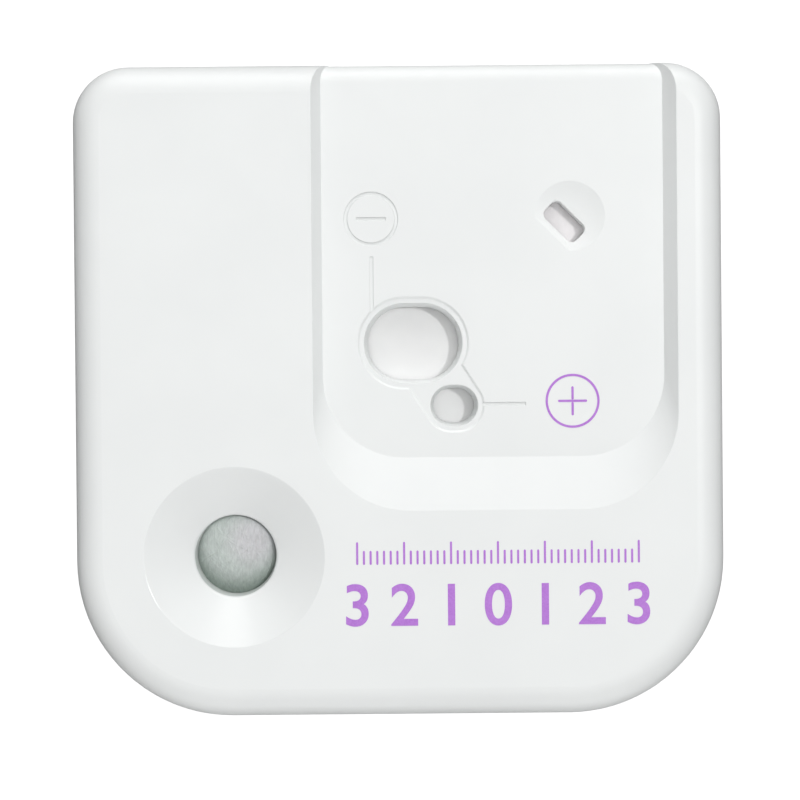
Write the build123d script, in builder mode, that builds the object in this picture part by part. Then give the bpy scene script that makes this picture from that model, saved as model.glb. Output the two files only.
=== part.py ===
from build123d import *

import os
from math import atan2, copysign, cos, radians, sin, sqrt, tan

# Lateral flow cassette. Millimetres, +Z up, origin at the middle of the underside.
# The front, -Y, is the edge nearest the reader. The test strip lies on the plate's diagonal,
# from the sample well at the front left to the end slot at the back right.

# Plate outline and shell walls
body_width = 60.0
body_depth = 60.2
base_height = 4.6
cover_height = 5.9
wall = 1.6
back_corner_radius = 5.15
front_corner_radius = 14.4
top_edge_radius = 2.7
base_edge_chamfer = 0.8
seam_chamfer = 0.15
overrun = 0.5

# Lap joint between the shells
tongue_thickness = 0.7
tongue_height = 0.8
joint_gap = 0.05

# Label field, sunk into the cover and open at the back edge. The sides are shares of half the
# plate's width and the front is a share of half its depth.
field_side_shares = (-0.2624, 0.855)
field_front_share = -0.3688
field_depth = 1.6
field_left_run = 0.85
field_right_run = 1.1
field_front_run = 4.85
field_rim_corner_radius = 8.9
field_floor_corner_radius = 7.5
field_edge_radius = 1.7

# Strip, laid on the ribs of the base
strip_angle = 45.0
strip_width = 15.0
strip_end_margin = 1.8
roof_gap = 0.65
card_thickness = 0.3

# Membrane and pads. The ends of the membrane are measured along the strip from the middle of the
# plate, and the conjugate pad starts a margin behind the boss of the well.
membrane_front = 5.5
membrane_back = 14.0
membrane_thickness = 0.25
conjugate_margin = 2.7
conjugate_overlap = 2.0
conjugate_thickness = 0.4
sample_overlap = 2.5
sample_thickness = 0.8
absorbent_overlap = 2.5
absorbent_thickness = 0.75
step_run = 0.4
indicator_width = 4.6
indicator_length = 6.4
indicator_thickness = 0.15

# Sample well. Its place is a share of half the plate's diagonal, and its throat narrows downwards.
well_place_share = -0.508
well_rim_radius = 8.3
well_rim_edge_radius = 0.2
throat_radius = 3.8
throat_edge_radius = 0.4
throat_length = 2.2
throat_draft = 4.5
boss_wall = 1.4

# Result window, placed by shares of half the plate's width and of half its depth, and control
# window, placed from the result window. One sunk lip runs round both.
result_place_shares = (0.0457, 0.1434)
result_length = 9.1
result_width = 7.4
control_shift = 3.75
control_drop = 5.8
control_length = 4.4
control_width = 3.8
window_draft = 6.0
lip_width = 0.6
lip_depth = 0.15
lip_slope = 50.0
skirt_wall = 1.2
skirt_gap = 0.15

# End slot in its scooped dish. Its place is a share of half the plate's diagonal.
slot_place_share = 0.5143
slot_length = 4.05
slot_width = 2.1
slot_corner_radius = 0.65
slot_skirt_wall = 0.9
dish_radius = 3.25
dish_depth = 0.45
dish_offset = 0.7
dish_edge_distance = 1.65
dish_edge_angle = 30.0

# Leader grooves beside the windows, and a ring round a minus bar, all sunk into the field. The
# ring's place is shares of half the plate's width and of half its depth.
groove_width = 0.3
groove_depth = 0.1
result_leader_shift = 3.8
result_leader_length = 4.3
control_leader_rise = 0.1
control_leader_length = 3.8
mark_place_shares = (-0.0817, 0.5249)
mark_radius = 2.5
mark_bar_length = 2.7

# Six-sided press pins of the cover and their round sockets in the base. The places are shares of
# half the plate's side, along the strip and to each side of it.
pin_sides = 6
pin_radius = 1.2
pin_gap = 0.04
pin_end_gap = 0.7
pin_stem_radius = 2.0
pin_tip_chamfer = 0.3
socket_radius = 2.5
pin_place_shares = ((0.0, 0.53), (0.0, 1.02), (-0.7, 0.43), (0.7, 0.43))

# Bars under the cover that press the pads on to the card
bar_thickness = 1.0
bar_side_gap = 0.3

# Strip channel in the base. The guide posts stand at shares of the strip's length.
channel_gap = 0.15
guide_thickness = 1.0
post_length = 2.4
post_gap = 0.7
post_chamfer = 0.4
post_place_shares = (0.07, 0.3, 0.75, 0.93)
rib_count = 7
rib_pitch = 8.4
rib_thickness = 1.0

# Levels that follow from the sizes above
body_height = base_height + cover_height
field_level = body_height - field_depth
field_roof_level = field_level - wall
cover_roof_level = body_height - wall
lip_level = field_level - lip_depth
indicator_top = field_roof_level - roof_gap - membrane_thickness
absorbent_top = indicator_top - indicator_thickness
card_top = absorbent_top - absorbent_thickness
card_level = card_top - card_thickness
membrane_top = card_top + membrane_thickness
conjugate_top = card_top + conjugate_thickness
sample_top = card_top + sample_thickness
funnel_level = sample_top + throat_length
skirt_level = membrane_top + skirt_gap
pin_tip_level = wall + pin_end_gap
post_top = field_roof_level - post_gap

# Places that follow from the plate's half sizes
half_width = body_width / 2
half_depth = body_depth / 2
half_side = min(half_width, half_depth)
half_diagonal = half_side * sqrt(2)
field_left, field_right = (share * half_width for share in field_side_shares)
field_front = field_front_share * half_depth
result_x = result_place_shares[0] * half_width
result_y = result_place_shares[1] * half_depth
control_x = result_x + control_shift
control_y = result_y - control_drop
well_distance = well_place_share * half_diagonal
boss_radius = throat_radius + boss_wall
conjugate_front = -well_distance - boss_radius - conjugate_margin
slot_distance = slot_place_share * half_diagonal

# Ends of the strip, where its corners clear the plate's inner walls
strip_half_width = strip_width / 2
front_corner_distance = (half_width + half_depth - 2 * front_corner_radius) / sqrt(2)
front_corner_offset = abs(half_width - half_depth) / sqrt(2)
front_corner_reach = sqrt((front_corner_radius - wall) ** 2 - (strip_half_width + front_corner_offset) ** 2)
strip_front = front_corner_distance + front_corner_reach - strip_end_margin
strip_back = (half_side - wall) * sqrt(2) - strip_half_width - strip_end_margin
strip_length = strip_front + strip_back
strip_centre = (strip_back - strip_front) / 2


def plate_outline(inset=0.0):
    """Outline of the plate with every side moved in by the inset."""
    with BuildSketch(mode=Mode.PRIVATE) as outline:
        Rectangle(body_width - 2 * inset, body_depth - 2 * inset)
        fillet(outline.vertices().group_by(Axis.Y)[-1], back_corner_radius - inset)
        fillet(outline.vertices().group_by(Axis.Y)[0], front_corner_radius - inset)
    return outline.sketch


def field_outline(level, thickness=0.0):
    """Outline of the sunken field at a level, or of its underside for a wall of the given thickness."""
    fall_share = (body_height - level - thickness) / field_depth
    left_inset, right_inset, front_inset = (
        fall_share * run - thickness * tan(atan2(field_depth, run) / 2)
        for run in (field_left_run, field_right_run, field_front_run)
    )
    corner_change = fall_share * (field_rim_corner_radius - field_floor_corner_radius)
    corner_radius = field_rim_corner_radius - corner_change + thickness
    left, right = field_left + left_inset, field_right - right_inset
    length = half_depth + overrun - field_front - front_inset
    with BuildSketch(mode=Mode.PRIVATE) as outline:
        with Locations(((left + right) / 2, half_depth + overrun - length / 2)):
            Rectangle(right - left, length)
        fillet(outline.vertices().group_by(Axis.Y)[0], corner_radius)
    return outline.sketch


def window_outline(x, y, length, width, margin=0.0):
    """Obround window outline at its place, grown by the margin."""
    with BuildSketch(mode=Mode.PRIVATE) as outline:
        with Locations((x, y)):
            SlotOverall(length + 2 * margin, width + 2 * margin)
    return outline.sketch


def neck_outline():
    """Outline of the lip round the control window, drawn out as a neck to the middle of the result window."""
    with BuildSketch(mode=Mode.PRIVATE) as outline:
        for x, y in ((result_x, result_y), (control_x, control_y)):
            add(window_outline(x, y, control_length, control_width, lip_width))
        make_hull()
    return outline.sketch


def strip_plane(level=0.0):
    """Level plane with its X along the strip and its origin over the middle of the plate."""
    return Plane.XY.offset(level).rotated((0, 0, strip_angle))


def strip_section(distance=0.0):
    """Upright plane along the strip's middle line, its Y up, its origin at a distance from the middle."""
    level = strip_plane()
    return Plane(level.from_local_coords((distance, 0, 0)), x_dir=level.x_dir, z_dir=-level.y_dir)


def pin_locations():
    """Places of the press pins in the strip's plane, on both sides of the strip."""
    return [
        (along * half_side, side * across * half_side)
        for along, across in pin_place_shares
        for side in (-1, 1)
    ]


def lapped_outline(end, step, tip, low_level, rise, thickness):
    """Side view of a pad that lies level from its end to a step and laps over the next layer to its tip."""
    ease = step + copysign(step_run, end - step)
    with BuildSketch(mode=Mode.PRIVATE) as outline:
        with BuildLine():
            Polyline(
                (end, low_level),
                (step, low_level),
                (step, low_level + rise),
                (tip, low_level + rise),
                (tip, low_level + rise + thickness),
                (step, low_level + rise + thickness),
                (ease, low_level + thickness),
                (end, low_level + thickness),
                close=True,
            )
        make_face()
    return outline.sketch


# Label field: everything between the cover's outer form and a lower plate of the same outline
with BuildPart() as field_low_plate:
    with BuildSketch():
        add(plate_outline())
    extrude(amount=field_level)
    fillet(field_low_plate.faces().sort_by(Axis.Z)[-1].edges(), field_edge_radius)

with BuildPart() as field_cut:
    for level in (field_level - field_edge_radius - overrun, body_height + overrun):
        with BuildSketch(Plane.XY.offset(level)):
            add(field_outline(level))
    loft(ruled=True)
    add(field_low_plate.part, mode=Mode.SUBTRACT)

with BuildPart() as field_underside:
    for level in (field_roof_level, cover_roof_level + overrun):
        with BuildSketch(Plane.XY.offset(level)):
            add(field_outline(level, wall))
    loft(ruled=True)

# Sample well: funnel, rounded throat edge and drafted throat, all one revolved profile
funnel_angle = atan2(body_height - funnel_level, well_rim_radius - throat_radius)
throat_foot_radius = throat_radius - (throat_length + overrun) * tan(radians(throat_draft))
well_section = strip_section(well_distance)
well_axis = Axis(well_section.origin, (0, 0, 1))
with BuildPart() as well_cut:
    with BuildSketch(well_section) as well_profile:
        with BuildLine():
            Polyline(
                (0, sample_top - overrun),
                (throat_foot_radius, sample_top - overrun),
                (throat_radius, funnel_level),
                (well_rim_radius, body_height),
                (well_rim_radius + overrun, body_height),
                (well_rim_radius + overrun, body_height + overrun),
                (0, body_height + overrun),
                close=True,
            )
        make_face()
        throat_corner = well_profile.vertices().sort_by_distance((throat_radius, funnel_level))[0]
        fillet(throat_corner, throat_edge_radius)
        rim_corner = well_profile.vertices().sort_by_distance((well_rim_radius, body_height))[0]
        fillet(rim_corner, well_rim_edge_radius)
    revolve(axis=well_axis)

# Well boss: wall of even thickness under the funnel, then a round foot on the sample pad
boss_rim_radius = well_rim_radius + wall * tan(funnel_angle / 2)
boss_cone_level = cover_roof_level - (boss_rim_radius - boss_radius) * tan(funnel_angle)
with BuildPart() as well_boss:
    with BuildSketch(well_section):
        with BuildLine():
            Polyline(
                (0, sample_top),
                (boss_radius, sample_top),
                (boss_radius, boss_cone_level),
                (boss_rim_radius, cover_roof_level),
                (boss_rim_radius, body_height),
                (0, body_height),
                close=True,
            )
        make_face()
    revolve(axis=well_axis)

# Dish of the end slot: a spherical scoop, cut off by a steep flat along one side of the slot
dish_sphere_radius = (dish_radius**2 + dish_depth**2) / (2 * dish_depth)
dish_section = strip_section(slot_distance + dish_offset)
dish_edge = strip_section(slot_distance - dish_edge_distance)
dish_edge_normal = dish_edge.x_dir * sin(radians(dish_edge_angle))
dish_edge_normal += Vector(0, 0, cos(radians(dish_edge_angle)))
with BuildPart() as dish_cut:
    with Locations(dish_section.origin + Vector(0, 0, field_level - dish_depth + dish_sphere_radius)):
        Sphere(dish_sphere_radius)
    split(
        bisect_by=Plane(dish_edge.origin + Vector(0, 0, field_level), z_dir=dish_edge_normal),
        keep=Keep.TOP,
    )

# Hollow of the cover, less all that stands down from its roof
with BuildPart() as cover_hollow:
    with BuildSketch(Plane.XY.offset(base_height)):
        add(plate_outline(wall))
    extrude(amount=cover_height - wall)
    chamfer(cover_hollow.faces().sort_by(Axis.Z)[-1].edges(), top_edge_radius - wall)
    add(field_underside.part, mode=Mode.SUBTRACT)
    add(well_boss.part, mode=Mode.SUBTRACT)
    # Skirts down to the membrane and to the end pad
    with BuildSketch(Plane.XY.offset(skirt_level)):
        add(window_outline(result_x, result_y, result_length, result_width, skirt_wall))
        add(window_outline(control_x, control_y, control_length, control_width, skirt_wall))
    extrude(amount=body_height - skirt_level, mode=Mode.SUBTRACT)
    with BuildSketch(strip_plane(indicator_top)):
        with Locations((slot_distance, 0)):
            RectangleRounded(
                slot_width + 2 * slot_skirt_wall,
                slot_length + 2 * slot_skirt_wall,
                slot_corner_radius + slot_skirt_wall,
            )
    extrude(amount=body_height - indicator_top, mode=Mode.SUBTRACT)
    # Pressure bars
    conjugate_bar = -(conjugate_front - sample_overlap + membrane_front) / 2
    absorbent_bar = membrane_back - absorbent_overlap / 2
    end_bar = (slot_distance + indicator_width / 2 + strip_back) / 2
    for distance, foot in (
        (conjugate_bar, conjugate_top),
        (absorbent_bar, absorbent_top + membrane_thickness),
        (end_bar, absorbent_top),
    ):
        with BuildSketch(strip_plane(foot)):
            with Locations((distance, 0)):
                Rectangle(bar_thickness, strip_width - 2 * bar_side_gap)
        extrude(amount=body_height - foot, mode=Mode.SUBTRACT)
    # Stems of the press pins, which shoulder on the sockets
    with BuildSketch(strip_plane(base_height)):
        with Locations(*pin_locations()):
            RegularPolygon(pin_stem_radius, pin_sides)
    extrude(amount=cover_height, mode=Mode.SUBTRACT)
    # Rebate for the tongue of the base
    with BuildSketch(Plane.XY.offset(base_height)):
        add(plate_outline(wall - tongue_thickness - joint_gap))
        add(plate_outline(wall), mode=Mode.SUBTRACT)
    extrude(amount=tongue_height + joint_gap)

# Cover
with BuildPart() as top_shell:
    with BuildSketch(Plane.XY.offset(base_height)):
        add(plate_outline())
    extrude(amount=cover_height)
    fillet(top_shell.faces().sort_by(Axis.Z)[-1].edges(), top_edge_radius)
    chamfer(top_shell.faces().sort_by(Axis.Z)[0].edges(), seam_chamfer)
    add(field_cut.part, mode=Mode.SUBTRACT)
    add(cover_hollow.part, mode=Mode.SUBTRACT)
    add(well_cut.part, mode=Mode.SUBTRACT)
    # Lip round the windows, its edge sloped so that it catches the light
    for outline in (
        window_outline(result_x, result_y, result_length, result_width, lip_width),
        neck_outline(),
    ):
        with BuildSketch(Plane.XY.offset(field_level)):
            add(outline)
        extrude(amount=-lip_depth, taper=lip_slope, mode=Mode.SUBTRACT)
    # Drafted window openings
    for outline in (
        window_outline(result_x, result_y, result_length, result_width),
        window_outline(control_x, control_y, control_length, control_width),
    ):
        with BuildSketch(Plane.XY.offset(lip_level)):
            add(outline)
        extrude(amount=skirt_level - overrun - lip_level, taper=window_draft, mode=Mode.SUBTRACT)
    # End slot in its dish
    add(dish_cut.part, mode=Mode.SUBTRACT)
    with BuildSketch(strip_plane(indicator_top - overrun)):
        with Locations((slot_distance, 0)):
            RectangleRounded(slot_width, slot_length, slot_corner_radius)
    extrude(amount=body_height - indicator_top, mode=Mode.SUBTRACT)
    # Leader grooves, which run out of the lip, and the ring with a minus bar
    with BuildSketch(Plane.XY.offset(field_level)):
        with Locations((result_x - result_leader_shift, result_y)):
            leader_reach = result_width / 2 + result_leader_length
            Rectangle(groove_width, leader_reach, align=(Align.CENTER, Align.MIN))
        with Locations((control_x, control_y + control_leader_rise)):
            leader_reach = control_length / 2 + lip_width + control_leader_length
            Rectangle(leader_reach, groove_width, align=(Align.MIN, Align.CENTER))
        with Locations((mark_place_shares[0] * half_width, mark_place_shares[1] * half_depth)):
            Circle(mark_radius)
            Circle(mark_radius - groove_width, mode=Mode.SUBTRACT)
            Rectangle(mark_bar_length, groove_width)
    extrude(amount=-groove_depth, mode=Mode.SUBTRACT)
    # Press pins below the shoulders
    with BuildSketch(strip_plane(pin_tip_level)):
        with Locations(*pin_locations()):
            RegularPolygon(pin_radius, pin_sides)
    extrude(amount=base_height - pin_tip_level + overrun)
    chamfer(top_shell.faces().group_by(Axis.Z)[0].edges(), pin_tip_chamfer)
top_shell.part.label = "top_shell"

# Base
with BuildPart() as bottom_shell:
    with BuildSketch():
        add(plate_outline())
    extrude(amount=base_height)
    chamfer(bottom_shell.faces().sort_by(Axis.Z)[0].edges(), base_edge_chamfer)
    chamfer(bottom_shell.faces().sort_by(Axis.Z)[-1].edges(), seam_chamfer)
    with BuildSketch(Plane.XY.offset(wall)):
        add(plate_outline(wall))
    extrude(amount=base_height - wall, mode=Mode.SUBTRACT)
    # Tongue that laps inside the cover's wall
    with BuildSketch(Plane.XY.offset(base_height - overrun)):
        add(plate_outline(wall - tongue_thickness))
        add(plate_outline(wall), mode=Mode.SUBTRACT)
    extrude(amount=overrun + tongue_height)
    # Support ribs, guide walls and end stops of the strip channel
    channel_length = strip_length + 2 * channel_gap
    channel_width = strip_width + 2 * channel_gap
    with BuildSketch(strip_plane(wall - overrun)):
        with GridLocations(rib_pitch, rib_pitch, rib_count, 1):
            Rectangle(rib_thickness, channel_width + guide_thickness)
    extrude(amount=card_level - wall + overrun)
    with BuildSketch(strip_plane(wall - overrun)):
        with Locations((strip_centre, 0)):
            Rectangle(channel_length + 2 * guide_thickness, channel_width + 2 * guide_thickness)
            Rectangle(channel_length, channel_width, mode=Mode.SUBTRACT)
    extrude(amount=membrane_top - wall + overrun)
    # Taller guide posts with a lead-in
    post_side = (channel_width + guide_thickness) / 2
    with BuildSketch(strip_plane(wall)):
        with Locations(
            *((share * strip_length - strip_front, side * post_side)
              for share in post_place_shares
              for side in (-1, 1))
        ):
            Rectangle(post_length, guide_thickness)
    extrude(amount=post_top - wall)
    post_tops = bottom_shell.faces().group_by(Axis.Z)[-1]
    post_inner_edges = [
        face.edges().sort_by_distance(strip_plane(post_top).from_local_coords((along, 0, 0)))[0]
        for face in post_tops
        for along in [strip_plane().to_local_coords(face.center()).X]
    ]
    chamfer(post_inner_edges, post_chamfer)
    # Corners of the channel cut clear of the cover's wall, above the tongue
    with BuildSketch(Plane.XY.offset(base_height + tongue_height)):
        add(plate_outline())
        add(plate_outline(wall + joint_gap), mode=Mode.SUBTRACT)
    extrude(amount=cover_height, mode=Mode.SUBTRACT)
    # Sockets of the press pins
    with BuildSketch(strip_plane(wall)):
        with Locations(*pin_locations()):
            RegularPolygon(socket_radius, pin_sides)
    extrude(amount=base_height - wall)
    with BuildSketch(strip_plane(wall)):
        with Locations(*pin_locations()):
            Circle(pin_radius + pin_gap)
    extrude(amount=base_height - wall, mode=Mode.SUBTRACT)
bottom_shell.part.label = "bottom_shell"

# Backing card that the membrane and the pads are laminated on
with BuildPart() as backing_card:
    with BuildSketch(strip_plane(card_level)):
        with Locations((strip_centre, 0)):
            Rectangle(strip_length, strip_width)
    extrude(amount=card_thickness)
backing_card.part.label = "backing_card"

# Membrane under both windows
with BuildPart() as membrane:
    with BuildSketch(strip_plane(card_top)):
        with Locations(((membrane_back - membrane_front) / 2, 0)):
            Rectangle(membrane_back + membrane_front, strip_width)
    extrude(amount=membrane_thickness)
membrane.part.label = "membrane"

# Conjugate pad, lapped on to the front end of the membrane
with BuildPart() as conjugate_pad:
    with BuildSketch(strip_section()):
        add(
            lapped_outline(
                end=-conjugate_front,
                step=-membrane_front,
                tip=conjugate_overlap - membrane_front,
                low_level=card_top,
                rise=membrane_thickness,
                thickness=conjugate_thickness,
            )
        )
    extrude(amount=strip_half_width, both=True)
conjugate_pad.part.label = "conjugate_pad"

# Sample pad, lapped on to the conjugate pad
with BuildPart() as sample_pad:
    with BuildSketch(strip_section()):
        add(
            lapped_outline(
                end=-strip_front,
                step=-conjugate_front,
                tip=sample_overlap - conjugate_front,
                low_level=card_top,
                rise=conjugate_thickness,
                thickness=sample_thickness,
            )
        )
    extrude(amount=strip_half_width, both=True)
sample_pad.part.label = "sample_pad"

# Absorbent pad, lapped on to the back end of the membrane
with BuildPart() as absorbent_pad:
    with BuildSketch(strip_section()):
        add(
            lapped_outline(
                end=strip_back,
                step=membrane_back,
                tip=membrane_back - absorbent_overlap,
                low_level=card_top,
                rise=membrane_thickness,
                thickness=absorbent_thickness,
            )
        )
    extrude(amount=strip_half_width, both=True)
absorbent_pad.part.label = "absorbent_pad"

# Indicator pad on the absorbent pad, under the end slot
with BuildPart() as indicator_pad:
    with BuildSketch(strip_plane(absorbent_top)):
        with Locations((slot_distance, 0)):
            Rectangle(indicator_width, indicator_length)
    extrude(amount=indicator_thickness)
indicator_pad.part.label = "indicator_pad"

os.makedirs("parts", exist_ok=True)
for piece in (
    top_shell,
    bottom_shell,
    backing_card,
    membrane,
    conjugate_pad,
    sample_pad,
    absorbent_pad,
    indicator_pad,
):
    export_step(piece.part, f"parts/{piece.part.label}.step")
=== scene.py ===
import math

import bmesh
import bpy
import numpy as np
from mathutils import Matrix, Vector


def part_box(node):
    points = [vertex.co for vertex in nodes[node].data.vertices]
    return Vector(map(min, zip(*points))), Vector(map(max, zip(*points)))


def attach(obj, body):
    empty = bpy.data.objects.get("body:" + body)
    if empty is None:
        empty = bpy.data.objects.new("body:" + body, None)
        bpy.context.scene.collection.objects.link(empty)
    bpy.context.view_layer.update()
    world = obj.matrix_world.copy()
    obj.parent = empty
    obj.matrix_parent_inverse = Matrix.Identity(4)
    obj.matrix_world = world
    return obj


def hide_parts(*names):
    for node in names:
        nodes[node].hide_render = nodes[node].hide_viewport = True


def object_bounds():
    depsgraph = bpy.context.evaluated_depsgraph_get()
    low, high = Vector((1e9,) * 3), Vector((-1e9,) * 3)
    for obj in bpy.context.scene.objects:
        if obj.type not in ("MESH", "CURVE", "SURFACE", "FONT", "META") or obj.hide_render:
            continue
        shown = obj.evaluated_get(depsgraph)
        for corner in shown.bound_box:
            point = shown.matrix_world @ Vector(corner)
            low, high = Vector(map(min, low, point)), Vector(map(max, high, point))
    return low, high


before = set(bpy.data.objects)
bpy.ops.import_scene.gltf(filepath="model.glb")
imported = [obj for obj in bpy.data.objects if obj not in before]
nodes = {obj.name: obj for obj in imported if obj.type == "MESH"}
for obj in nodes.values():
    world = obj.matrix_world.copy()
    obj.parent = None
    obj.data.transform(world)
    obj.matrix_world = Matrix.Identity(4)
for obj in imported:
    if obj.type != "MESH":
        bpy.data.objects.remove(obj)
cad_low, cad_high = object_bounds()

# Base shell
# The lower half of the cassette: a thin tray moulded in satin white polystyrene, with the channel
# of the test strip inside. Its sockets grip the cover's pins. Only its wall and underside show.

MM = 0.001
SHELL_WHITE = (0.845, 0.862, 0.857, 1.0)
SHELL_SHADE = (0.825, 0.842, 0.838, 1.0)
SPECK_GREY = (0.66, 0.67, 0.66, 1.0)
EDGE_ROUNDING = 0.1 * MM
CLOUD_SCALE = 90.0
SPECK_SCALE = 110.0
SPECK_EDGES = (0.006, 0.016)
GRAIN_SCALE = 7000.0
GRAIN_DEPTH = 0.004 * MM
GRAIN_STRENGTH = 0.5
BASE_SATIN = (0.38, 0.5)


def add_node(tree, kind, **sockets):
    """Adds a node and sets its inputs by name, or links those that are given an output."""
    node = tree.nodes.new("ShaderNode" + kind)
    for name, value in sockets.items():
        socket = node.inputs[name.replace("_", " ")]
        if isinstance(value, bpy.types.NodeSocket):
            tree.links.new(value, socket)
        else:
            socket.default_value = value
    return node


def new_material(name, **constants):
    """A material with one surface shader; the constants go straight on to its sockets."""
    material = bpy.data.materials.new(name)
    material.use_nodes = True
    tree = material.node_tree
    shader = tree.nodes["Principled BSDF"]
    for key, value in constants.items():
        shader.inputs[key.replace("_", " ")].default_value = value
    place = add_node(tree, "TexCoord").outputs["Object"]
    return material, tree, shader, place


def stretch(tree, place, scale, turn=0.0):
    """The place turned about the upright and stretched by the scale of each direction."""
    node = add_node(tree, "Mapping", Vector=place, Scale=scale, Rotation=(0.0, 0.0, turn))
    return node.outputs["Vector"]


def span(tree, value, start, end, low=0.0, high=1.0, kind="LINEAR"):
    """Value carried from the range start..end to low..high, without passing either end."""
    node = add_node(tree, "MapRange", Value=value)
    node.interpolation_type = kind
    ends = {"From Min": start, "From Max": end, "To Min": low, "To Max": high}
    for name, number in ends.items():
        node.inputs[name].default_value = number
    return node.outputs["Result"]


def blend(tree, factor, first, second, kind="RGBA", way="MIX"):
    """First where the factor is 0 and second where it is 1, as a colour or as a number."""
    node = tree.nodes.new("ShaderNodeMix")
    node.data_type, node.blend_type = kind, way
    mixed = [socket for socket in node.inputs
             if socket.enabled and socket.name in ("Factor", "A", "B")]
    for socket, value in zip(mixed, (factor, first, second)):
        if isinstance(value, bpy.types.NodeSocket):
            tree.links.new(value, socket)
        else:
            socket.default_value = value
    return next(socket for socket in node.outputs if socket.enabled)


def multiply(tree, first, second):
    """The first colour times the second one."""
    return blend(tree, 1.0, first, second, way="MULTIPLY")


def flat_distance(tree, place, centre):
    """Distance of the place from the centre, both seen from straight above."""
    flat = add_node(tree, "VectorMath", Vector=place)
    flat.operation = "MULTIPLY"
    flat.inputs[1].default_value = (1.0, 1.0, 0.0)
    offset = add_node(tree, "VectorMath", Vector=flat.outputs[0])
    offset.operation = "DISTANCE"
    offset.inputs[1].default_value = centre
    return offset.outputs["Value"]


def moulded_plastic(name, satin_range):
    """Satin moulding: faint clouding, a few specks, a fine spark-eroded grain and eased edges."""
    material, tree, shader, place = new_material(name, IOR=1.5)
    clouds = add_node(tree, "TexNoise", Vector=place, Scale=CLOUD_SCALE, Detail=3.0).outputs["Fac"]
    grain = add_node(tree, "TexNoise", Vector=place, Scale=GRAIN_SCALE, Detail=2.0).outputs["Fac"]
    specks = add_node(tree, "TexVoronoi", Vector=place, Scale=SPECK_SCALE).outputs["Distance"]
    colour = blend(tree, span(tree, clouds, 0.35, 0.65), SHELL_WHITE, SHELL_SHADE)
    colour = blend(tree, span(tree, specks, *SPECK_EDGES), SPECK_GREY, colour)
    tree.links.new(colour, shader.inputs["Base Color"])
    satin = span(tree, grain, 0.3, 0.7, *satin_range)
    tree.links.new(satin, shader.inputs["Roughness"])
    eased = tree.nodes.new("ShaderNodeBevel")
    eased.samples = 6
    eased.inputs["Radius"].default_value = EDGE_ROUNDING
    relief = add_node(tree, "Bump", Height=grain, Normal=eased.outputs[0],
                      Distance=GRAIN_DEPTH, Strength=GRAIN_STRENGTH)
    tree.links.new(relief.outputs[0], shader.inputs["Normal"])
    return material, tree, shader, place, satin, relief


nodes["bottom_shell"].data.materials[0] = moulded_plastic("base_plastic", BASE_SATIN)[0]

# Backing card
# A thin white plastic sheet with an adhesive face, cut to the strip. The membrane and the pads are
# laminated on it, and it lies on the ribs of the base.

CARD_SHADE = (0.78, 0.78, 0.75, 1)
CARD_WHITE = (0.84, 0.84, 0.82, 1)
CARD_MOTTLE_SCALE = 400.0

card_material, tree, shader, place = new_material("card_plastic", Roughness=0.32, IOR=1.48)
card_mottle = add_node(tree, "TexNoise", Vector=place, Scale=CARD_MOTTLE_SCALE, Detail=4.0)
card_colour = blend(tree, card_mottle.outputs["Fac"], CARD_SHADE, CARD_WHITE)
tree.links.new(card_colour, shader.inputs["Base Color"])
nodes["backing_card"].data.materials[0] = card_material

# Membrane
# White nitrocellulose cast as a thin smooth sheet, laminated on the card under both windows. Its
# rims are cut clean, and its matt face has only a very fine pore texture.

STRIP_TURN = math.radians(45.0)
MEMBRANE_RIM = 0.06 * MM
MEMBRANE_WHITE = (0.895, 0.895, 0.892, 1)
MEMBRANE_SHADE = (0.875, 0.876, 0.874, 1)
DRIFT_SCALE = 350.0
PORE_SCALE = 9000.0
PORE_DEPTH = 0.003 * MM


def strip_extent(name):
    """Lowest and highest corner of a CAD node: places along the strip, across it and upwards."""
    mesh = nodes[name].data
    flat = np.empty(len(mesh.vertices) * 3)
    mesh.vertices.foreach_get("co", flat)
    x, y, z = flat.reshape(-1, 3).T
    along = x * math.cos(STRIP_TURN) + y * math.sin(STRIP_TURN)
    across = y * math.cos(STRIP_TURN) - x * math.sin(STRIP_TURN)
    places = np.stack([along, across, z])
    return places.min(axis=1), places.max(axis=1)


def crowded(low, high, count):
    """Places from low to high that crowd towards both ends, as the sine of even steps does."""
    steps = np.sin(np.linspace(-math.pi / 2, math.pi / 2, count))
    return (low + high) / 2 + (high - low) / 2 * steps


def rim_fall(along, across, radius):
    """How far a face falls towards its rims: along each rim by a quarter circle of the radius."""
    falls = []
    for places in (along, across):
        nearest = np.minimum(places - places[0], places[-1] - places)
        inside = np.clip(1 - nearest / radius, 0, 1)
        falls.append(radius * (1 - np.sqrt(1 - inside**2)))
    return np.maximum(falls[0][:, None], falls[1][None, :])


def new_piece(name, points, faces, smooth, material):
    """Puts points and faces, whole arrays, into a piece that goes with the cassette."""
    mesh = bpy.data.meshes.new(name)
    mesh.from_pydata(points.tolist(), [], faces)
    mesh.polygons.foreach_set("use_smooth", smooth)
    mesh.materials.append(material)
    piece = bpy.data.objects.new(name, mesh)
    bpy.context.scene.collection.objects.link(piece)
    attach(piece, "root")
    return piece


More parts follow.
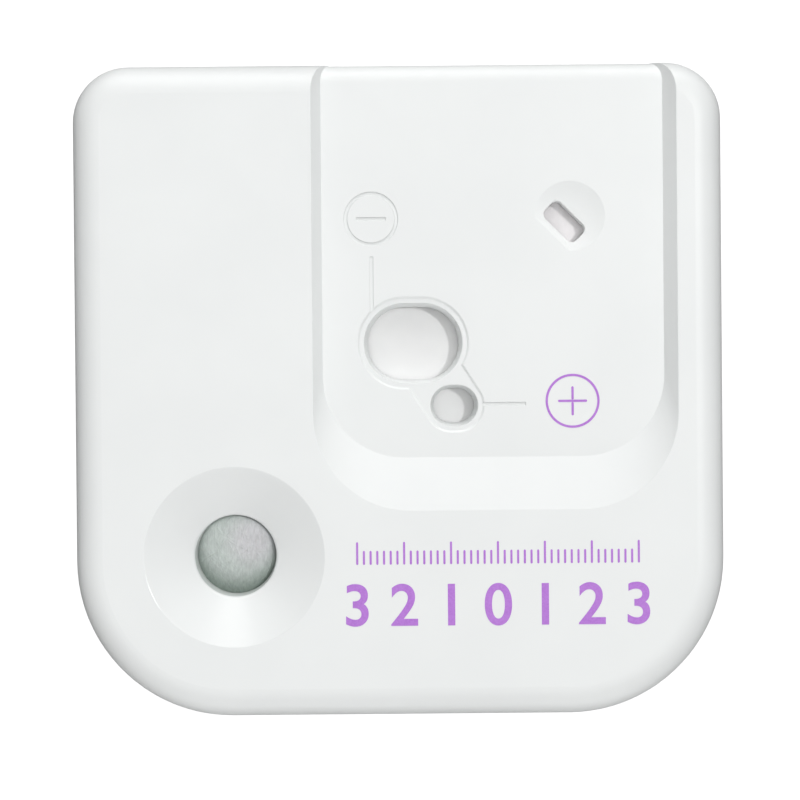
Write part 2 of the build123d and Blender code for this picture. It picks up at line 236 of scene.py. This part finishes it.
def laid_sheet(name, along, across, top, bottom, material):
    """A closed sheet of the strip: a top and a bottom height over each place along and across it,
    turned by the strip's angle to the plate's directions. Walls join the rims of both grids."""
    s, t = np.meshgrid(along, across, indexing="ij")
    x = s * math.cos(STRIP_TURN) - t * math.sin(STRIP_TURN)
    y = s * math.sin(STRIP_TURN) + t * math.cos(STRIP_TURN)
    points = np.concatenate([
        np.stack([x, y, level], axis=-1).reshape(-1, 3) for level in (top, bottom)])
    grid = np.arange(s.size).reshape(s.shape)
    corners = (grid[:-1, :-1], grid[1:, :-1], grid[1:, 1:], grid[:-1, 1:])
    upper = np.stack(corners, axis=-1).reshape(-1, 4)
    lower = upper[:, ::-1] + s.size
    rim = np.concatenate([grid[:-1, 0], grid[-1, :-1], grid[:0:-1, -1], grid[0, :0:-1]])
    after = np.roll(rim, -1)
    walls = np.stack([rim + s.size, after + s.size, after, rim], axis=-1)
    faces = np.concatenate([upper, lower, walls])
    smooth = np.arange(len(faces)) < len(faces) - len(walls)
    return new_piece(name, points, faces.tolist(), smooth, material)


membrane_low, membrane_high = strip_extent("membrane")
membrane_material, tree, shader, place = new_material("membrane_sheet", Roughness=0.85, IOR=1.35)
pores = add_node(tree, "TexNoise", Vector=place, Scale=PORE_SCALE, Detail=3.0).outputs["Fac"]
drift = add_node(tree, "TexNoise", Vector=place, Scale=DRIFT_SCALE, Detail=2.0).outputs["Fac"]
membrane_colour = blend(tree, span(tree, drift, 0.35, 0.65), MEMBRANE_WHITE, MEMBRANE_SHADE)
tree.links.new(membrane_colour, shader.inputs["Base Color"])
pore_relief = add_node(tree, "Bump", Height=pores, Distance=PORE_DEPTH, Strength=0.6)
tree.links.new(pore_relief.outputs[0], shader.inputs["Normal"])
along = crowded(membrane_low[0], membrane_high[0], 70)
across = crowded(membrane_low[1], membrane_high[1], 60)
membrane_top = membrane_high[2] - rim_fall(along, across, MEMBRANE_RIM)
membrane_bottom = np.full_like(membrane_top, membrane_low[2])
membrane = laid_sheet("membrane_sheet", along, across, membrane_top, membrane_bottom,
                      membrane_material)
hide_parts("membrane")

# Conjugate pad
# A thin pad of glass fibre that lies on the card and laps over the front end of the membrane. A
# bar under the cover presses the lap down.

PAD_RIM = 0.15 * MM
LAP_RUN = 0.4 * MM
THREAD_STRETCH = (5600.0, 1500.0, 3000.0)
CROSSED_STRETCH = (3600.0, 1500.0, 3000.0)
CROSSED_TURN = 0.7
CROSSED_SHARE = 0.35
FELT_RELIEF = 0.03 * MM
CONJUGATE_LIGHT = (0.74, 0.75, 0.72, 1)
CONJUGATE_DARK = (0.62, 0.64, 0.61, 1)


def lap_rise(along, step, tip, rise):
    """How far a pad is lifted by what it laps over: nothing before the step, then the rise, with a
    smooth slope just before it. The tip tells on which side of the step the lap lies."""
    run = (along - step) * math.copysign(1.0, tip - step)
    share = np.clip(run / LAP_RUN + 1, 0, 1)
    return rise * share**2 * (3 - 2 * share)


def fibre_pad(name, light, dark, turn=0.0):
    """Pad of compacted fibre: pale and dark threads from stretched noise, and a coarse relief."""
    material, tree, shader, place = new_material(name, Roughness=0.9, IOR=1.4)
    threads = add_node(tree, "TexNoise", Scale=1.0, Detail=4.0, Roughness=0.6,
                       Vector=stretch(tree, place, THREAD_STRETCH, turn))
    crossed = add_node(tree, "TexNoise", Scale=1.0, Detail=3.0,
                       Vector=stretch(tree, place, CROSSED_STRETCH, turn + CROSSED_TURN))
    felt = blend(tree, CROSSED_SHARE, threads.outputs["Fac"], crossed.outputs["Fac"], "FLOAT")
    colour = blend(tree, span(tree, felt, 0.36, 0.64), dark, light)
    tree.links.new(colour, shader.inputs["Base Color"])
    relief = add_node(tree, "Bump", Height=felt, Distance=FELT_RELIEF, Strength=0.7)
    tree.links.new(relief.outputs[0], shader.inputs["Normal"])
    return material, tree, shader, place, colour


conjugate_low, conjugate_high = strip_extent("conjugate_pad")
conjugate_material = fibre_pad("conjugate_fibre", CONJUGATE_LIGHT, CONJUGATE_DARK, STRIP_TURN)[0]
card_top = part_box("backing_card")[1].z
membrane_thickness = membrane_high[2] - membrane_low[2]
conjugate_thickness = conjugate_high[2] - membrane_high[2]
along = crowded(conjugate_low[0], conjugate_high[0], 90)
across = crowded(conjugate_low[1], conjugate_high[1], 40)
rise = lap_rise(along, membrane_low[0], conjugate_high[0], membrane_thickness)[:, None]
conjugate_bottom = card_top + rise + np.zeros((1, len(across)))
conjugate_top = conjugate_bottom + conjugate_thickness - rim_fall(along, across, PAD_RIM)
conjugate = laid_sheet("conjugate_pad_felt", along, across, conjugate_top, conjugate_bottom,
                       conjugate_material)
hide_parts("conjugate_pad")

# Sample pad
# Grey-green glass fibre, laid on the card under the well and lapped over the conjugate pad. The
# foot of the well presses it down all round, so it swells up like a pillow inside the throat, most
# of all at the back. Its loose fibres show there. Its colour is painted darker towards the front
# and sides of its rim: painted shade, where the throat wall keeps the light off the steep sides of
# the swell.

WELL_DISTANCE = -21.55 * MM
THROAT_FOOT = 3.75 * MM
PAD_SWELL = 1.7 * MM
SWELL_LEAN = 0.24
SWELL_SIDE = math.radians(80.0)
SWELL_POWERS = (0.16, 1.0)
SWELL_MIDDLE_SHARE = 0.55
SWELL_SHARE_SLOPE = 0.75
SAMPLE_LIGHT = (0.69, 0.69, 0.705, 1)
SAMPLE_DARK = (0.55, 0.552, 0.565, 1)
FELT_STEP = 0.05 * MM
FELT_REACH = 3.8 * MM
# Painted shade on the pad: the middle of its unshaded part, the distances over which its colour
# darkens, and the shade tint.
PAINTED_SHADE_OFFSET = (0.15 * MM, 1.3 * MM)
PAINTED_SHADE_REACH = (2.6 * MM, 4.8 * MM)
PAINTED_SHADE_TINT = (0.42, 0.46, 0.43, 1)
LILAC_OFFSET = (1.6 * MM, 1.4 * MM)
LILAC_REACH = (0.8 * MM, 3.4 * MM)
GREEN_TINT = (0.915, 1.0, 0.935, 1)
FIBRE_COUNT = 300
FIBRE_RADII = (0.02 * MM, 0.05 * MM)
FIBRE_HALF_LENGTHS = (0.4 * MM, 2.0 * MM)
FIBRE_DEPTH = 0.07 * MM
FIBRE_LEAN = math.radians(32.0)
FIBRE_BEND = 110.0
FIBRE_SEED = 11
FIBRE_FADE = 8


def felt_height(x, y, seed):
    """Height of loose fibres over their ground. Each is a line bent into a shallow parabola, with
    a half circle as its section, and the highest fibre counts at each point."""
    draw = np.random.default_rng(seed)
    height = np.zeros_like(x)
    middles = draw.uniform(-FELT_REACH, FELT_REACH, (FIBRE_COUNT, 2))
    angles = math.pi / 2 + draw.normal(0.0, FIBRE_LEAN, FIBRE_COUNT)
    radii = draw.uniform(*FIBRE_RADII, FIBRE_COUNT)
    halves = draw.uniform(*FIBRE_HALF_LENGTHS, FIBRE_COUNT)
    bends = draw.normal(0.0, FIBRE_BEND, FIBRE_COUNT)
    grounds = draw.uniform(-FIBRE_DEPTH, FIBRE_DEPTH, FIBRE_COUNT) / 2
    fibres = zip(middles, angles, radii, halves, bends, grounds)
    for (mx, my), angle, radius, half, bend, ground in fibres:
        run = (x - mx) * math.cos(angle) + (y - my) * math.sin(angle)
        off = (y - my) * math.cos(angle) - (x - mx) * math.sin(angle) - bend * run**2
        across_share = np.clip(1 - (off / radius) ** 2, 0, 1)
        end_share = np.clip((half - np.abs(run)) / radius, 0, 1)
        thread = ground + radius * np.sqrt(across_share) * np.sqrt(end_share)
        height = np.where((across_share > 0) & (end_share > 0), np.maximum(height, thread), height)
    return height


sample_low, sample_high = strip_extent("sample_pad")
sample_thickness = sample_high[2] - card_top - conjugate_thickness
fine = np.arange(-FELT_REACH, FELT_REACH, FELT_STEP)
along = crowded(sample_low[0], sample_high[0], 34)
along = np.unique(np.concatenate([along, WELL_DISTANCE + fine]))
across = np.unique(np.concatenate([crowded(sample_low[1], sample_high[1], 24), fine]))
rise = lap_rise(along, conjugate_low[0], sample_high[0], conjugate_thickness)[:, None]
sample_bottom = card_top + rise + np.zeros((1, len(across)))
from_well = np.hypot((along - WELL_DISTANCE)[:, None], across[None, :])
in_throat = np.clip(1 - (from_well / THROAT_FOOT) ** 2, 0, 1)
s, t = np.meshgrid(along - WELL_DISTANCE, across, indexing="ij")
felt_x = s * math.cos(STRIP_TURN) - t * math.sin(STRIP_TURN)
felt_y = s * math.sin(STRIP_TURN) + t * math.cos(STRIP_TURN)
towards_back = (felt_x * math.cos(SWELL_SIDE) + felt_y * math.sin(SWELL_SIDE)) / THROAT_FOOT
steep, gentle = SWELL_POWERS
steep_share = np.clip(SWELL_MIDDLE_SHARE + SWELL_SHARE_SLOPE * towards_back, 0, 1)
power = gentle + (steep - gentle) * steep_share
swell = PAD_SWELL * in_throat**power * (1 + SWELL_LEAN * towards_back)
sample_top = sample_bottom + sample_thickness - rim_fall(along, across, PAD_RIM)
sample_top += swell
sample_top += np.clip(in_throat * FIBRE_FADE, 0, 1) * felt_height(felt_x, felt_y, FIBRE_SEED)
sample_material, tree, shader, place, colour = fibre_pad(
    "sample_fibre", SAMPLE_LIGHT, SAMPLE_DARK)
well_x, well_y = WELL_DISTANCE * math.cos(STRIP_TURN), WELL_DISTANCE * math.sin(STRIP_TURN)
lilac_middle = (well_x + LILAC_OFFSET[0], well_y + LILAC_OFFSET[1], 0.0)
from_lilac = flat_distance(tree, place, lilac_middle)
greener = span(tree, from_lilac, *LILAC_REACH, 0.0, 1.0, "SMOOTHSTEP")
tinted = multiply(tree, colour, blend(tree, greener, (1, 1, 1, 1), GREEN_TINT))
# Painted shade: the pad's colour is darkened towards the shade tint away from a point just behind
# the middle of the well, most of all at the front of its rim.
unshaded_middle = (well_x + PAINTED_SHADE_OFFSET[0], well_y + PAINTED_SHADE_OFFSET[1], 0.0)
from_unshaded_middle = flat_distance(tree, place, unshaded_middle)
painted_shade = span(tree, from_unshaded_middle, *PAINTED_SHADE_REACH, 0.0, 1.0, "SMOOTHSTEP")
shaded = multiply(tree, tinted, blend(tree, painted_shade, (1, 1, 1, 1), PAINTED_SHADE_TINT))
tree.links.new(shaded, shader.inputs["Base Color"])
sample = laid_sheet("sample_pad_felt", along, across, sample_top, sample_bottom,
                    sample_material)
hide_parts("sample_pad")

# Absorbent pad
# Thick soft cellulose at the far end of the strip, lapped over the back end of the membrane, which
# draws the sample along. Two bars under the cover hold it down.

WICK_LIGHT = (0.9, 0.89, 0.86, 1)
WICK_DARK = (0.83, 0.82, 0.785, 1)

absorbent_low, absorbent_high = strip_extent("absorbent_pad")
absorbent_material = fibre_pad("wick_fibre", WICK_LIGHT, WICK_DARK)[0]
along = crowded(absorbent_low[0], absorbent_high[0], 90)
across = crowded(absorbent_low[1], absorbent_high[1], 50)
absorbent_thickness = absorbent_high[2] - card_top - membrane_thickness
rise = lap_rise(along, membrane_high[0], absorbent_low[0], membrane_thickness)[:, None]
absorbent_bottom = card_top + rise + np.zeros((1, len(across)))
absorbent_top = absorbent_bottom + absorbent_thickness - rim_fall(along, across, PAD_RIM)
absorbent = laid_sheet("absorbent_pad_felt", along, across, absorbent_top, absorbent_bottom,
                       absorbent_material)
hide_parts("absorbent_pad")

# Indicator pad
# A small piece of faintly pink paper on the absorbent pad, under the end slot of the cover, whose
# skirt holds it down round its edge. Inside the slot it swells up a little.

PAPER_RIM = 0.04 * MM
PAPER_SWELL = 0.42 * MM
SLOT_DISTANCE = 21.82 * MM
SLOT_HALF_WIDTH = 1.04 * MM
SLOT_HALF_LENGTH = 2.0 * MM
PAPER_LIGHT = (0.96, 0.93, 0.94, 1)
PAPER_DARK = (0.91, 0.885, 0.895, 1)
PAPER_TURN = 1.1

indicator_low, indicator_high = strip_extent("indicator_pad")
indicator_material = fibre_pad("indicator_paper", PAPER_LIGHT, PAPER_DARK, PAPER_TURN)[0]
along = crowded(indicator_low[0], indicator_high[0], 120)
across = crowded(indicator_low[1], indicator_high[1], 140)
indicator_top = indicator_high[2] - rim_fall(along, across, PAPER_RIM)
width_share = np.clip(1 - ((along[:, None] - SLOT_DISTANCE) / SLOT_HALF_WIDTH) ** 2, 0, 1)
length_share = np.clip(1 - (across[None, :] / SLOT_HALF_LENGTH) ** 2, 0, 1)
indicator_top += PAPER_SWELL * np.sqrt(np.minimum(width_share, length_share))
indicator_bottom = np.full_like(indicator_top, indicator_low[2])
indicator = laid_sheet("indicator_pad_paper", along, across, indicator_top, indicator_bottom,
                       indicator_material)
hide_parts("indicator_pad")

# Cover
# The upper half, moulded in the same white polystyrene, with the well, the windows, the end slot
# and the sunken label field. The mould is polished in the funnel, which comes out glossy there.

WELL_RIM = 8.42 * MM
POLISH_EDGE = 0.12 * MM
POLISHED = 0.19
POLISHED_GRAIN = 0.05
COVER_SATIN = (0.36, 0.48)

cover_plastic, tree, shader, place, satin, relief = moulded_plastic("cover_plastic", COVER_SATIN)
from_well_axis = flat_distance(tree, place, (well_x, well_y, 0.0))
in_well = span(tree, from_well_axis, WELL_RIM - POLISH_EDGE, WELL_RIM, 1.0, 0.0)
tree.links.new(blend(tree, in_well, satin, POLISHED, "FLOAT"), shader.inputs["Roughness"])
grain_strength = span(tree, in_well, 0.0, 1.0, GRAIN_STRENGTH, POLISHED_GRAIN)
tree.links.new(grain_strength, relief.inputs["Strength"])
nodes["top_shell"].data.materials[0] = cover_plastic

# Printed marks
# Pad-printed in one violet ink on the finished cover: a ring with a plus in the label field, and a
# tick scale with plain numerals along the front, from 0 in its middle to 3 at both ends. The ink
# stands up by a few hundredths of a millimetre.

INK_HEIGHT = 0.02 * MM
INK_SINK = 0.01 * MM
PLATE_LEVEL = cad_high[2]
FIELD_DEPTH = 1.6 * MM
FIELD_LEVEL = PLATE_LEVEL - FIELD_DEPTH
RING_PLACE = (16.05 * MM, -1.15 * MM)
RING_RADIUS = 2.5 * MM
RING_WIDTH = 0.22 * MM
PLUS_LENGTH = 2.7 * MM
ROW_START = -5.35 * MM
ROW_END = 23.3 * MM
TICK_WIDTH = 0.2 * MM
TICK_COUNT = 43
TICK_FOOT = -16.04 * MM
TICK_HEIGHT = 1.3 * MM
LONG_TICK_HEIGHT = 2.1 * MM
LONG_TICK_EVERY = 7
NUMERAL_ROW = -19.97 * MM
NUMERAL_SIZE = 5.4 * MM
NUMERAL_BOLD = 0.07 * MM
NUMERAL_INSET = 1.4 * MM
NUMERAL_ENDS = 3
MERGE_DISTANCE = 0.001 * MM
INK_DARK = (0.425, 0.155, 0.625, 1)
INK_LIGHT = (0.48, 0.19, 0.685, 1)
INK_THIN = (0.56, 0.27, 0.74, 1)
THIN_SHARE = 0.25
MOTTLE_SCALE = 5200.0
MOTTLE_DEPTH = 0.002 * MM
THIN_SCALE = 700.0

ink, tree, shader, place = new_material("violet_ink", Roughness=0.35, IOR=1.45)
mottle = add_node(tree, "TexNoise", Vector=place, Scale=MOTTLE_SCALE, Detail=3.0).outputs["Fac"]
thin_places = add_node(tree, "TexNoise", Vector=place, Scale=THIN_SCALE, Detail=1.0).outputs["Fac"]
thinness = span(tree, thin_places, 0.3, 0.7, 0.0, THIN_SHARE)
print_colour = blend(tree, span(tree, mottle, 0.35, 0.65), INK_DARK, INK_LIGHT)
print_colour = blend(tree, thinness, print_colour, INK_THIN)
tree.links.new(print_colour, shader.inputs["Base Color"])
ink_relief = add_node(tree, "Bump", Height=mottle, Distance=MOTTLE_DEPTH, Strength=0.5)
tree.links.new(ink_relief.outputs[0], shader.inputs["Normal"])


def inked_bars(name, middles, sizes, angle_count, level):
    """Raised bars with round ends, printed at a level. Each outline is two half circles, as far
    apart as the bar is long. The outlines of all the bars are one array: bars by points."""
    half_turn = np.linspace(-math.pi / 2, math.pi / 2, angle_count)
    turn = np.concatenate([half_turn, half_turn + math.pi])
    end = np.repeat([1.0, -1.0], angle_count)
    middles, sizes = np.asarray(middles), np.asarray(sizes)
    radius = sizes.min(axis=1)[:, None] / 2
    straight = sizes / 2 - radius
    lying = (sizes[:, 0] > sizes[:, 1])[:, None]
    angle = np.where(lying, turn, turn + math.pi / 2)
    x = middles[:, :1] + straight[:, :1] * end + radius * np.cos(angle)
    y = middles[:, 1:] + straight[:, 1:] * end + radius * np.sin(angle)
    count = x.size
    points = np.concatenate([
        np.stack([x, y, np.full_like(x, height)], axis=-1).reshape(-1, 3)
        for height in (level + INK_HEIGHT, level - INK_SINK)
    ])
    outline = np.arange(count).reshape(x.shape)
    after = np.roll(outline, -1, axis=1)
    walls = np.stack([outline + count, after + count, after, outline], axis=-1).reshape(-1, 4)
    faces = outline.tolist() + (outline[:, ::-1] + count).tolist() + walls.tolist()
    flat = np.zeros(len(faces), bool)
    return new_piece(name, points, faces, flat, ink)


def inked_ring(name, middle, radius, width, level, segments=96):
    """A raised ring: four circles, outer and inner, above and below, joined each to the next."""
    turn = np.linspace(0, 2 * math.pi, segments, endpoint=False)
    section = [(radius, level - INK_SINK), (radius, level + INK_HEIGHT),
               (radius - width, level + INK_HEIGHT), (radius - width, level - INK_SINK)]
    points = np.stack([
        np.stack([middle[0] + r * np.cos(turn),
                  middle[1] + r * np.sin(turn),
                  np.full(segments, z)], axis=-1)
        for r, z in section
    ])
    grid = np.arange(4 * segments).reshape(4, segments)
    side, onward = np.roll(grid, -1, axis=0), np.roll(grid, -1, axis=1)
    faces = np.stack([grid, onward, np.roll(side, -1, axis=1), side], axis=-1).reshape(-1, 4)
    flat = np.zeros(len(faces), bool)
    return new_piece(name, points.reshape(-1, 3), faces.tolist(), flat, ink)


inked_ring("printed_ring", RING_PLACE, RING_RADIUS, RING_WIDTH, FIELD_LEVEL)
inked_bars("printed_plus_bar", [RING_PLACE], [(PLUS_LENGTH, RING_WIDTH)], 7, FIELD_LEVEL)
stub = (PLUS_LENGTH - RING_WIDTH) / 2
stub_reach = (stub + RING_WIDTH) / 2
stub_middles = [(RING_PLACE[0], RING_PLACE[1] + side * stub_reach) for side in (-1, 1)]
inked_bars("printed_plus_stem", stub_middles, [(RING_WIDTH, stub)] * 2, 7, FIELD_LEVEL)
tick_x = np.linspace(ROW_START + NUMERAL_INSET, ROW_END - NUMERAL_INSET, TICK_COUNT)
is_long = np.arange(TICK_COUNT) % LONG_TICK_EVERY == 0
tick_tall = np.where(is_long, LONG_TICK_HEIGHT, TICK_HEIGHT)
tick_middles = np.stack([tick_x, TICK_FOOT + tick_tall / 2], axis=-1)
tick_sizes = np.stack([np.full(TICK_COUNT, TICK_WIDTH), tick_tall], axis=-1)
inked_bars("printed_tick_scale", tick_middles, tick_sizes, 5, PLATE_LEVEL)

joined = bmesh.new()
for number, x in enumerate(tick_x[::LONG_TICK_EVERY]):
    letter = bpy.data.curves.new("numeral", "FONT")
    letter.body = str(abs(number - NUMERAL_ENDS))
    letter.size = NUMERAL_SIZE
    letter.offset = NUMERAL_BOLD
    letter.extrude = (INK_HEIGHT + INK_SINK) / 2
    letter.align_x = "CENTER"
    letter.align_y = "CENTER"
    holder = bpy.data.objects.new("numeral", letter)
    shape = holder.to_mesh()
    middle_level = PLATE_LEVEL + (INK_HEIGHT - INK_SINK) / 2
    shape.transform(Matrix.Translation((x, NUMERAL_ROW, middle_level)))
    joined.from_mesh(shape)
    holder.to_mesh_clear()
    bpy.data.objects.remove(holder)
bmesh.ops.remove_doubles(joined, verts=joined.verts, dist=MERGE_DISTANCE)
bmesh.ops.recalc_face_normals(joined, faces=joined.faces)
numeral_mesh = bpy.data.meshes.new("printed_numerals")
joined.to_mesh(numeral_mesh)
joined.free()
numeral_mesh.materials.append(ink)
numerals = bpy.data.objects.new("printed_numerals", numeral_mesh)
bpy.context.scene.collection.objects.link(numerals)
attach(numerals, "root")

# Table, light and camera
# A plain white table, one small hard lamp up on the right, large soft boxes above, behind and in
# front, and a camera almost straight above. The cassette stands a hair into the table, so that its
# underside and the table never share a plane.

FLOOR_HALF = 1.5
FLOOR_LEVEL = 0.02 * MM
FLOOR_SHADE = 0.12
WORLD_STRENGTH = 0.215
KEY_STRENGTH = 0.85
OVERHEAD_POWER = 1.95
BACK_POWER = 0.33
BACK_WIDE_POWER = 0.6
BACK_LOW_POWER = 2.4
FRONT_LOW_POWER = 1.9
KEY_ZENITH = math.radians(22.9)
KEY_AZIMUTH = math.radians(17.0)
KEY_WIDTH = math.radians(3.0)
BOX_DISTANCE = 0.7

floor_mesh = bpy.data.meshes.new("table_top")
corner_signs = np.array([(-1, -1, 0), (1, -1, 0), (1, 1, 0), (-1, 1, 0)])
floor_corners = corner_signs * FLOOR_HALF + np.array([0, 0, FLOOR_LEVEL])
floor_mesh.from_pydata(floor_corners.tolist(), [], [(0, 1, 2, 3)])
floor = bpy.data.objects.new("table_top", floor_mesh)
bpy.context.scene.collection.objects.link(floor)
floor_material, floor_tree, floor_shader, _ = new_material("table_white", Roughness=0.9)
floor_shader.inputs["Base Color"].default_value = (FLOOR_SHADE, FLOOR_SHADE, FLOOR_SHADE, 1)
floor_shader.inputs["Emission Color"].default_value = (1, 1, 1, 1)
seen = floor_tree.nodes.new("ShaderNodeLightPath").outputs["Is Camera Ray"]
floor_tree.links.new(seen, floor_shader.inputs["Emission Strength"])
floor_mesh.materials.append(floor_material)

world = bpy.data.worlds.new("studio")
bpy.context.scene.world = world
world.use_nodes = True
world.node_tree.nodes["Background"].inputs["Color"].default_value = (1, 1, 1, 1)
world.node_tree.nodes["Background"].inputs["Strength"].default_value = WORLD_STRENGTH

key_data = bpy.data.lights.new("key", "SUN")
key_data.energy = KEY_STRENGTH
key_data.angle = KEY_WIDTH
key = bpy.data.objects.new("key", key_data)
key.rotation_euler = (0, KEY_ZENITH, KEY_AZIMUTH)
bpy.context.scene.collection.objects.link(key)


def soft_box(name, azimuth, elevation, width, height, power):
    """A rectangular lamp at the box distance from the middle of the table, facing it."""
    lamp = bpy.data.lights.new(name, "AREA")
    lamp.shape = "RECTANGLE"
    lamp.size, lamp.size_y = width, height
    lamp.energy = power
    holder = bpy.data.objects.new(name, lamp)
    turn, tilt = math.radians(azimuth), math.radians(90 - elevation)
    reach = BOX_DISTANCE * math.sin(tilt)
    height_above = BOX_DISTANCE * math.cos(tilt)
    holder.location = (reach * math.cos(turn), reach * math.sin(turn), height_above)
    holder.rotation_euler = Vector(holder.location).to_track_quat("Z", "Y").to_euler()
    bpy.context.scene.collection.objects.link(holder)


soft_box("overhead", 90, 89.9, 0.4, 1.6, OVERHEAD_POWER)
soft_box("back_box", 97, 42, 0.26, 0.36, BACK_POWER)
soft_box("back_wide_box", 90, 45, 0.9, 0.5, BACK_WIDE_POWER)
soft_box("back_low_box", 90, 20, 0.9, 0.3, BACK_LOW_POWER)
soft_box("front_low_box", -90, 13, 0.9, 0.3, FRONT_LOW_POWER)

CAMERA_DISTANCE = 220 * MM
CAMERA_TILT = math.radians(-0.5)
CAMERA_ROLL = math.radians(-0.5)
VIEW_WIDTH = 74.3 * MM
AIM = Vector((0.103, -0.948, 7.8)) * MM
camera_data = bpy.data.cameras.new("camera")
camera_data.lens = camera_data.sensor_width * CAMERA_DISTANCE / VIEW_WIDTH
camera_data.clip_start = 0.01
camera = bpy.data.objects.new("camera", camera_data)
camera.rotation_euler = (CAMERA_TILT, 0, CAMERA_ROLL)
camera.location = AIM + CAMERA_DISTANCE * (camera.rotation_euler.to_matrix() @ Vector((0, 0, 1)))
bpy.context.scene.collection.objects.link(camera)
bpy.context.scene.camera = camera
bpy.context.scene.view_settings.view_transform = "Standard"
